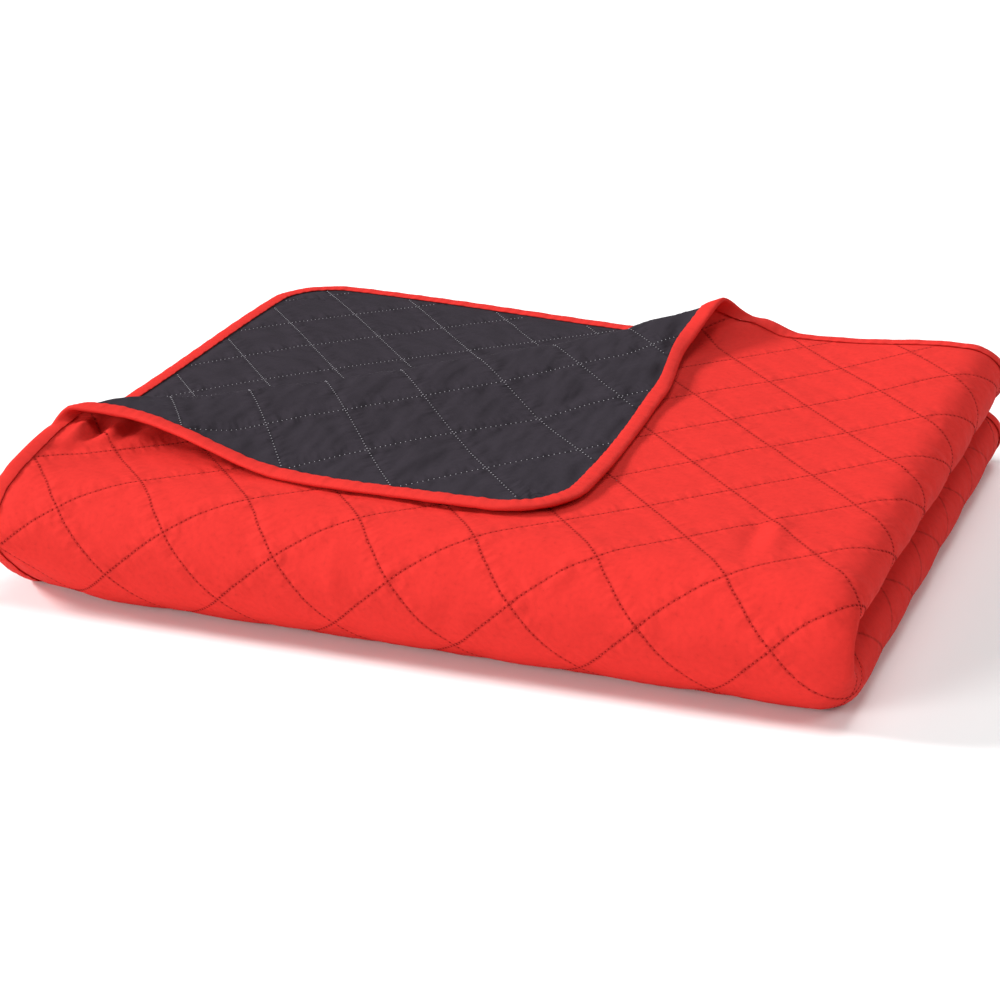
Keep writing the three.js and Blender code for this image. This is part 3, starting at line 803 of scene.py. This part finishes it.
class Pattern:
    """Shorthand for the nodes of one material."""

    def __init__(self, name, rough):
        self.material = bpy.data.materials.new(name)
        self.material.use_nodes = True
        self.nodes = self.material.node_tree.nodes
        self.links = self.material.node_tree.links
        self.surface = self.nodes["Principled BSDF"]
        self.surface.inputs["Roughness"].default_value = rough

    def feed(self, socket, value):
        """Connects an output to a socket, or sets the socket to a number."""
        if isinstance(value, (int, float)):
            socket.default_value = value
        else:
            self.links.new(value, socket)

    def flat_map(self, name):
        """Coordinates of one of the piece's flat maps."""
        node = self.nodes.new("ShaderNodeUVMap")
        node.uv_map = name
        return node.outputs["UV"]

    def math(self, operation, first, second=0.0):
        """One step of arithmetic on two outputs or numbers."""
        node = self.nodes.new("ShaderNodeMath")
        node.operation = operation
        self.feed(node.inputs[0], first)
        self.feed(node.inputs[1], second)
        return node.outputs[0]

    def vector(self, x, y):
        """A flat vector from two outputs or numbers."""
        node = self.nodes.new("ShaderNodeCombineXYZ")
        self.feed(node.inputs["X"], x)
        self.feed(node.inputs["Y"], y)
        return node.outputs[0]

    def stretched(self, vector, x, y):
        """The vector with its two parts multiplied."""
        node = self.nodes.new("ShaderNodeVectorMath")
        node.operation = "MULTIPLY"
        self.links.new(vector, node.inputs[0])
        node.inputs[1].default_value = (x, y, 1)
        return node.outputs[0]

    def noise(self, vector, scale, detail):
        """Soft noise over a vector."""
        node = self.nodes.new("ShaderNodeTexNoise")
        self.links.new(vector, node.inputs["Vector"])
        node.inputs["Scale"].default_value = scale
        node.inputs["Detail"].default_value = detail
        return node.outputs["Fac"]

    def near(self, distance, reach):
        """1 on a line, falling smoothly to 0 at the given distance from it."""
        node = self.nodes.new("ShaderNodeMapRange")
        node.interpolation_type = "SMOOTHSTEP"
        self.feed(node.inputs["Value"], distance)
        node.inputs["From Max"].default_value = reach
        node.inputs["To Min"].default_value = 1.0
        node.inputs["To Max"].default_value = 0.0
        return node.outputs[0]

    def shades(self, factor, colour, stops):
        """The colour times a share that goes from stop to stop with the factor."""
        node = self.nodes.new("ShaderNodeValToRGB")
        ramp = node.color_ramp.elements
        while len(ramp) < len(stops):
            ramp.new(0.5)
        for element, (position, share) in zip(ramp, stops):
            element.position = position
            element.color = (*[min(1, channel * share) for channel in colour], 1)
        self.links.new(factor, node.inputs["Fac"])
        return node.outputs["Color"]

    def bump(self, height):
        """Relief of a height given in millimetres."""
        node = self.nodes.new("ShaderNodeBump")
        node.inputs["Strength"].default_value = 1.0
        node.inputs["Distance"].default_value = 0.001
        self.links.new(height, node.inputs["Height"])
        self.links.new(node.outputs["Normal"], self.surface.inputs["Normal"])


def drawn_in(pattern, pleat):
    """Relief of the cloth drawn in along both families of stitch lines: short pleats square to
    a line, which fade out away from it. Also returns the distance to the nearest line."""
    lines = pattern.nodes.new("ShaderNodeSeparateXYZ")
    pattern.links.new(pattern.flat_map("stitch_lines"), lines.inputs[0])
    first, second = lines.outputs["X"], lines.outputs["Y"]
    relief = 0.0
    distances = []
    for across, along in ((first, second), (second, first)):
        distance = pattern.math("PINGPONG", across, 0.5)
        drawn_out = pattern.vector(pattern.math("MULTIPLY", across, PLEAT_STRETCH), along)
        wave = pattern.noise(drawn_out, *PLEATS)
        height = pattern.math("MULTIPLY", wave, pattern.near(distance, PLEAT_REACH))
        relief = pattern.math("ADD", relief, pattern.math("MULTIPLY", height, pleat))
        distances.append(distance)
    return relief, pattern.math("MINIMUM", *distances)


def cloth_material(name, colour, rough, crinkle, pleat=0.0):
    """Brushed microfibre: soft reflection, a little mottling of the colour, painted shade in the
    stitch lines, with crinkles, drawn-in pleats and a fine weave as relief on the flat maps."""
    pattern = Pattern(name, rough)
    surface = pattern.surface
    surface.inputs["Specular IOR Level"].default_value = CLOTH_SPECULAR
    surface.inputs["Sheen Weight"].default_value = SHEEN
    surface.inputs["Sheen Roughness"].default_value = SHEEN_ROUGH
    surface.inputs["Sheen Tint"].default_value = (*colour, 1)
    flat = pattern.flat_map("cloth_flat")
    mottle = pattern.noise(flat, *MOTTLE)
    crinkles = pattern.noise(pattern.stretched(flat, *CRINKLE_STRETCH), *CRINKLES)
    weave = pattern.math("MULTIPLY", pattern.noise(flat, *WEAVE), WEAVE_HEIGHT)
    relief = pattern.math("ADD", pattern.math("MULTIPLY", crinkles, crinkle), weave)
    if pleat:
        drawn, closest = drawn_in(pattern, pleat)
        relief = pattern.math("ADD", relief, drawn)
        # painted shade: the colour is darkened in the valleys along the stitch lines
        shade = pattern.math("MULTIPLY", pattern.near(closest, LINE_PAINTED_SHADE_REACH), LINE_PAINTED_SHADE)
        mottle = pattern.math("SUBTRACT", mottle, shade)
    pattern.links.new(pattern.shades(mottle, colour, TONES_AND_PAINTED_SHADE), surface.inputs["Base Color"])
    pattern.bump(relief)
    return pattern.material


def plain_material(name, colour, rough):
    """Thread, painted shade of a needle hole, or floor: one colour, no pattern."""
    material = bpy.data.materials.new(name)
    material.use_nodes = True
    surface = material.node_tree.nodes["Principled BSDF"]
    surface.inputs["Base Color"].default_value = (*colour, 1)
    surface.inputs["Roughness"].default_value = rough
    surface.inputs["Specular IOR Level"].default_value = PLAIN_SPECULAR
    return material


def belongs(piece, *nodes, slot):
    """The piece lies still with the bedspread and stands for these solids; slot is not used."""
    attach(piece, "root")
    if nodes:
        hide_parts(*nodes)


class BedspreadColours(bpy.types.PropertyGroup):
    """Colours of the cloths and threads, and the painted shade of the needle holes."""

    face: FloatVectorProperty(
        name="Face cloth", description="Colour of the face cloth and the binding",
        subtype="COLOR", size=3, min=0, max=1, default=(0.63, 0.0300, 0.0245))
    backing: FloatVectorProperty(
        name="Backing cloth", description="Colour of the reverse side",
        subtype="COLOR", size=3, min=0, max=1, default=(0.0310, 0.0255, 0.0325))
    # painted shade: the dark colour of the marks at the face's needle holes, also used for the binding's
    # stitches
    needle_hole_shade: FloatVectorProperty(
        name="Needle holes", description="Colour in the needle holes of the face",
        subtype="COLOR", size=3, min=0, max=1, default=(0.25, 0.006, 0.005))
    # light grey thread of the reverse side, lightened further to stand for painted glints on the stitches
    backing_thread_and_glint: FloatVectorProperty(
        name="Backing thread", description="Colour of the stitches on the reverse side",
        subtype="COLOR", size=3, min=0, max=1, default=(0.34, 0.32, 0.35))


class BedspreadSizes(bpy.types.PropertyGroup):
    """Sizes that change the look of the quilting."""

    face_puff: FloatProperty(
        name="Face puff", description="Height of the diamonds on the face side",
        subtype="DISTANCE", unit="LENGTH", min=0, max=0.01, default=0.0023)
    back_puff: FloatProperty(
        name="Backing puff", description="Height of the diamonds on the reverse side",
        subtype="DISTANCE", unit="LENGTH", min=0, max=0.01, default=0.0034)
    stitch_length: FloatProperty(
        name="Stitch length", description="Length of one visible quilting stitch",
        subtype="DISTANCE", unit="LENGTH", min=0.001, max=0.01, default=0.0040)
    # the needle hole's dark mark is painted shade
    hole_length: FloatProperty(
        name="Needle hole", description="Length of the dark mark between two stitches",
        subtype="DISTANCE", unit="LENGTH", min=0.0005, max=0.005, default=0.0031)
    tape_plump: FloatProperty(
        name="Binding dome", description="How far the binding bulges between rim and seam",
        subtype="DISTANCE", unit="LENGTH", min=0, max=0.004, default=0.0010)


def face_ply(sizes):
    """The face cloth with its share of the filling."""
    return Ply(side=1, thin=FACE_THIN, height=sizes.face_puff, pucker=0.00030, phase=0.0)


def backing_ply(sizes):
    """The backing cloth with its share of the filling."""
    return Ply(side=-1, thin=BACK_THIN, height=sizes.back_puff, pucker=0.00028, phase=1.9)


class BEDSPREAD_OT_face_panel(bpy.types.Operator):
    """Builds the quilted face cloth"""

    bl_idname = "bedspread.face_panel"
    bl_label = "Face panel"

    def execute(self, context):
        colour = context.scene.bedspread_colours.face
        material = cloth_material("face_cloth", colour, rough=0.75, crinkle=2.0, pleat=3.0)
        ply = face_ply(context.scene.bedspread_sizes)
        piece = quilted_panel("face_panel_cloth", ply, FACE_HIDDEN_U, FACE_HIDDEN_V, material)
        belongs(piece, "face_panel", slot="face_cloth")
        return {"FINISHED"}


class BEDSPREAD_OT_backing_panel(bpy.types.Operator):
    """Builds the quilted backing cloth"""

    bl_idname = "bedspread.backing_panel"
    bl_label = "Backing panel"

    def execute(self, context):
        colour = context.scene.bedspread_colours.backing
        material = cloth_material("backing_cloth", colour, rough=0.72, crinkle=8.4, pleat=5.0)
        ply = backing_ply(context.scene.bedspread_sizes)
        piece = quilted_panel("backing_panel_cloth", ply, BACK_HIDDEN_U, BACK_HIDDEN_V, material)
        belongs(piece, "backing_panel", slot="backing_cloth")
        return {"FINISHED"}


class BEDSPREAD_OT_binding(bpy.types.Operator):
    """Builds the binding tape round the rim"""

    bl_idname = "bedspread.binding"
    bl_label = "Binding"

    def execute(self, context):
        colour = context.scene.bedspread_colours.face
        material = cloth_material("binding_tape", colour, rough=0.65, crinkle=2.4)
        points, distance = Tape().surface(context.scene.bedspread_sizes.tape_plump)
        stations, around = points.shape[:2]
        width = np.arange(around) * Tape.MAP_STEP
        flat = np.stack(np.meshgrid(distance, width, indexing="ij"), -1)
        piece = mesh_piece(
            "binding_tape", points.reshape(-1, 3), tube_faces(stations, around), material,
            {"cloth_flat": flat.reshape(-1, 2)})
        belongs(piece, "binding", slot="binding_tape")
        return {"FINISHED"}


class BEDSPREAD_OT_quilting(bpy.types.Operator):
    """Sews the quilting stitches on both sides, with dark beads of painted shade at the face's needle
    holes
    """

    bl_idname = "bedspread.quilting"
    bl_label = "Quilting stitches"

    def execute(self, context):
        colours = context.scene.bedspread_colours
        sizes = context.scene.bedspread_sizes
        face, backing = face_ply(sizes), backing_ply(sizes)
        red_thread = plain_material("face_thread", colours.face, rough=0.5)
        red_hole_shade = plain_material("face_needle_hole_painted_shade", colours.needle_hole_shade, rough=0.9)
        # the backing's thread is light partly as a painted glint
        grey_thread_and_glint = plain_material("backing_thread_and_glint", colours.backing_thread_and_glint, rough=0.5)
        stitch, hole = sizes.stitch_length, sizes.hole_length
        short = BACK_STITCH_SHARE * hole
        rows = [
            ("face_stitches", face, BETWEEN_HOLES, stitch, FACE_STITCH, red_thread, "face_cloth"),
            # needle holes: dark beads of painted shade on the face
            ("needle_hole_shade_marks", face, ON_HOLE, hole, FACE_HOLE_SHADE, red_hole_shade, "face_cloth"),
            ("backing_stitches", backing, BETWEEN_HOLES, short, BACK_STITCH, grey_thread_and_glint, "backing_cloth"),
        ]
        for name, ply, shift, length, girth, material, slot in rows:
            points, triangles = quilting_beads(ply, shift, length, *girth)
            piece = mesh_piece(name, points, triangles, material)
            belongs(piece, slot=slot)
        return {"FINISHED"}


class BEDSPREAD_OT_binding_seam(bpy.types.Operator):
    """Sews the binding down along its inner edge on both sides"""

    bl_idname = "bedspread.binding_seam"
    bl_label = "Binding stitches"

    def execute(self, context):
        # the binding's stitches are drawn dark, in the needle holes' painted-shade colour
        colour = context.scene.bedspread_colours.needle_hole_shade
        thread = plain_material("binding_thread", colour, rough=0.7)
        (over, over_faces), (under, under_faces) = (
            beads(*Tape().seam(side), *BINDING_STITCH) for side in (1, -1))
        points = np.concatenate([over, under])
        triangles = np.concatenate([over_faces, under_faces + len(over)])
        piece = mesh_piece("binding_stitches", points, triangles, thread)
        belongs(piece, slot="binding_tape")
        return {"FINISHED"}


def add_floor():
    """A wide pale floor just below the part."""
    ends = ((-1, -1), (1, -1), (1, 1), (-1, 1))
    corners = np.array([(x * FLOOR_HALF_SIZE, y * FLOOR_HALF_SIZE, FLOOR_HEIGHT) for x, y in ends])
    material = plain_material("pale_floor", FLOOR_COLOUR, rough=0.9)
    mesh_piece("floor", corners, np.array([[0, 1, 2], [0, 2, 3]]), material)


def add_world(scene):
    """A world that the camera sees as white, and that lights the scene only a little."""
    world = bpy.data.worlds.new("studio")
    world.use_nodes = True
    nodes, links = world.node_tree.nodes, world.node_tree.links
    background = nodes["Background"]
    background.inputs["Color"].default_value = (1, 1, 1, 1)
    strength = nodes.new("ShaderNodeMath")
    strength.operation = "MULTIPLY_ADD"
    strength.inputs[1].default_value = 1 - WORLD_LIGHT
    strength.inputs[2].default_value = WORLD_LIGHT
    links.new(nodes.new("ShaderNodeLightPath").outputs["Is Camera Ray"], strength.inputs[0])
    links.new(strength.outputs[0], background.inputs["Strength"])
    scene.world = world


def add_lamps(scene):
    """Sun lamps that shine from their places towards the middle of the floor."""
    for name, place, spread, power in LAMPS:
        lamp = bpy.data.lights.new(name, "SUN")
        lamp.angle = math.radians(spread)
        lamp.energy = power
        holder = bpy.data.objects.new(name, lamp)
        turn = (-Vector(place)).to_track_quat("-Z", "Y").to_matrix().to_4x4()
        holder.matrix_world = Matrix.Translation(place) @ turn
        scene.collection.objects.link(holder)


def add_camera(scene):
    """Camera from its azimuth, elevation and roll, as a right-handed set of axes."""
    level = math.cos(CAMERA_ELEVATION)
    back = Vector((
        math.sin(CAMERA_AZIMUTH) * level,
        -math.cos(CAMERA_AZIMUTH) * level,
        math.sin(CAMERA_ELEVATION),
    ))
    right = (-back).cross(Vector((0, 0, 1))).normalized()
    up = right.cross(-back)
    tilt, keep = math.sin(CAMERA_ROLL), math.cos(CAMERA_ROLL)
    right, up = keep * right + tilt * up, keep * up - tilt * right
    camera = bpy.data.cameras.new("camera")
    camera.lens = CAMERA_LENS
    camera.sensor_width = SENSOR_WIDTH
    camera.clip_end = CAMERA_CLIP_END
    holder = bpy.data.objects.new("camera", camera)
    axes = Matrix((right, up, back)).transposed().to_4x4()
    holder.matrix_world = Matrix.Translation(CAMERA_PLACE - PACKAGE_ORIGIN) @ axes
    scene.collection.objects.link(holder)
    scene.camera = holder


class BEDSPREAD_OT_stage(bpy.types.Operator):
    """Sets the floor, the light and the camera"""

    bl_idname = "bedspread.stage"
    bl_label = "Stage"

    def execute(self, context):
        scene = context.scene
        add_floor()
        add_world(scene)
        add_lamps(scene)
        scene.view_settings.view_transform = "Standard"
        add_camera(scene)
        return {"FINISHED"}


STEPS = (
    BEDSPREAD_OT_stage,
    BEDSPREAD_OT_face_panel,
    BEDSPREAD_OT_backing_panel,
    BEDSPREAD_OT_binding,
    BEDSPREAD_OT_quilting,
    BEDSPREAD_OT_binding_seam,
)


class BEDSPREAD_PT_panel(bpy.types.Panel):
    """Lists the bedspread's sizes, colours and building steps"""

    bl_idname = "BEDSPREAD_PT_panel"
    bl_label = "Quilted bedspread"
    bl_space_type = "VIEW_3D"
    bl_region_type = "UI"
    bl_category = "Bedspread"

    def draw(self, context):
        for group in (context.scene.bedspread_colours, context.scene.bedspread_sizes):
            for name in group.__annotations__:
                self.layout.prop(group, name)
        for step in STEPS:
            self.layout.operator(step.bl_idname)


CLASSES = (BedspreadColours, BedspreadSizes, *STEPS, BEDSPREAD_PT_panel)


def register():
    """Makes the classes and the scene's two groups of properties known."""
    for cls in CLASSES:
        bpy.utils.register_class(cls)
    bpy.types.Scene.bedspread_colours = PointerProperty(type=BedspreadColours)
    bpy.types.Scene.bedspread_sizes = PointerProperty(type=BedspreadSizes)


def unregister():
    """Takes back what register made known."""
    del bpy.types.Scene.bedspread_sizes
    del bpy.types.Scene.bedspread_colours
    for cls in reversed(CLASSES):
        bpy.utils.unregister_class(cls)


def main():
    register()
    for step in STEPS:
        family, name = step.bl_idname.split(".")
        getattr(getattr(bpy.ops, family), name)()


if __name__ == "__main__":
    main()
